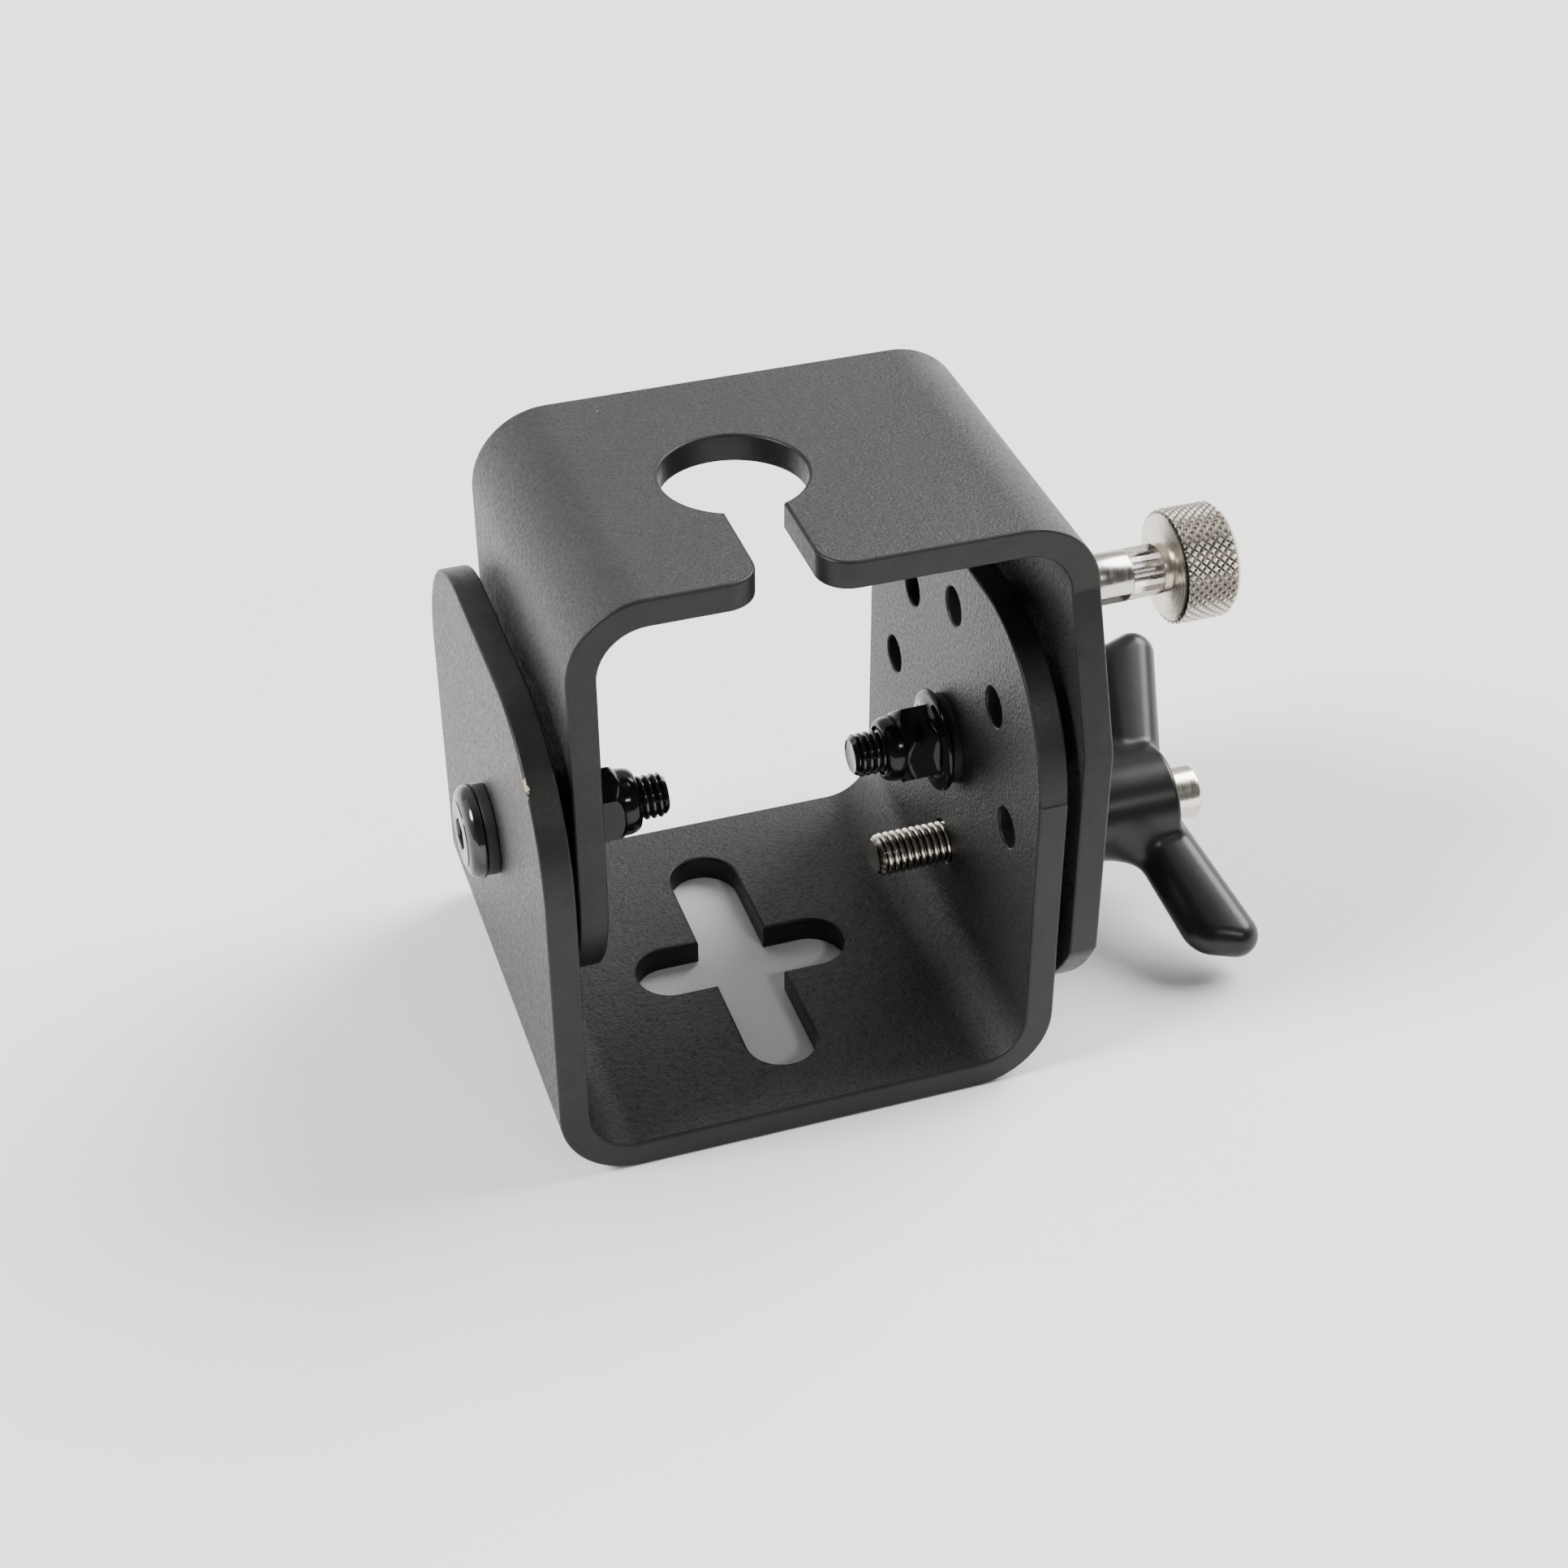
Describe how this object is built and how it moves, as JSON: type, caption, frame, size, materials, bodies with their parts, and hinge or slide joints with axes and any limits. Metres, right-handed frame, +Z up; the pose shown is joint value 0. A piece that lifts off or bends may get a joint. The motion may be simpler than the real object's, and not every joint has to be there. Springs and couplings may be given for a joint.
{
  "type": "tilting mounting bracket",
  "caption": "Folded steel tilting bracket: a U bracket pivots inside another, indexed by a spring plunger and clamped by a wing screw; cross-slotted base, keyhole top.",
  "frame": {"origin": "centre of the lower bracket's underside, at the middle of the cross slot, on the surface the bracket stands on", "axes": "+Z up out of the base, X along the pivot axis with the index plunger and the wing screw on the +X side, +Y towards the back, away from the keyhole's open end"},
  "size_m": [0.0893, 0.052, 0.068],
  "materials": {
    "powder_coat": "fine-textured matt black powder coat",
    "black_screw": "glossy black zinc",
    "washer_black": "satin black",
    "black_nut": "glossy black zinc",
    "nylon_ring": "dark nylon",
    "nickel_plate": "satin nickel, turned and knurled",
    "pin_steel": "ground steel",
    "spring_steel": "bright drawn wire",
    "stud_steel": "bright zinc, cut thread",
    "wing_plastic": "satin black nylon"
  },
  "bodies": {
    "base": {"lower_bracket": "powder_coat", "left_pivot_screw": "black_screw", "right_pivot_screw": "black_screw", "left_head_washer": "washer_black", "right_head_washer": "washer_black", "left_spacer_washer": "washer_black", "right_spacer_washer": "washer_black", "left_nut_washer": "washer_black", "right_nut_washer": "washer_black", "left_lock_nut": "black_nut", "right_lock_nut": "black_nut", "left_nut_ring": "nylon_ring", "right_nut_ring": "nylon_ring"},
    "upper": {"upper_bracket": "powder_coat", "plunger_sleeve": "nickel_plate", "plunger_spring": "spring_steel"},
    "plunger": {"plunger_pin": "pin_steel", "plunger_knob": "nickel_plate"},
    "clamp": {"clamp_stud": "stud_steel", "wing_knob": "wing_plastic"}
  },
  "joints": [
    {"name": "tilt", "type": "hinge", "parent": "base", "child": "upper", "pos_m": [0, 0, 0.029], "axis": [1, 0, 0], "range_deg": [-45, 90]},
    {"name": "plunger_pull", "type": "slide", "parent": "upper", "child": "plunger", "axis": [1, 0, 0], "range_m": [-0.00345, 0.00125], "stiffness_N_per_m": 300, "springref_m": -0.012, "deforming": ["plunger_spring"]},
    {"name": "wing_turn", "type": "hinge", "parent": "base", "child": "clamp", "pos_m": [0.045, 0, 0.014], "axis": [1, 0, 0], "range_deg": [0, 540]}
  ]
}
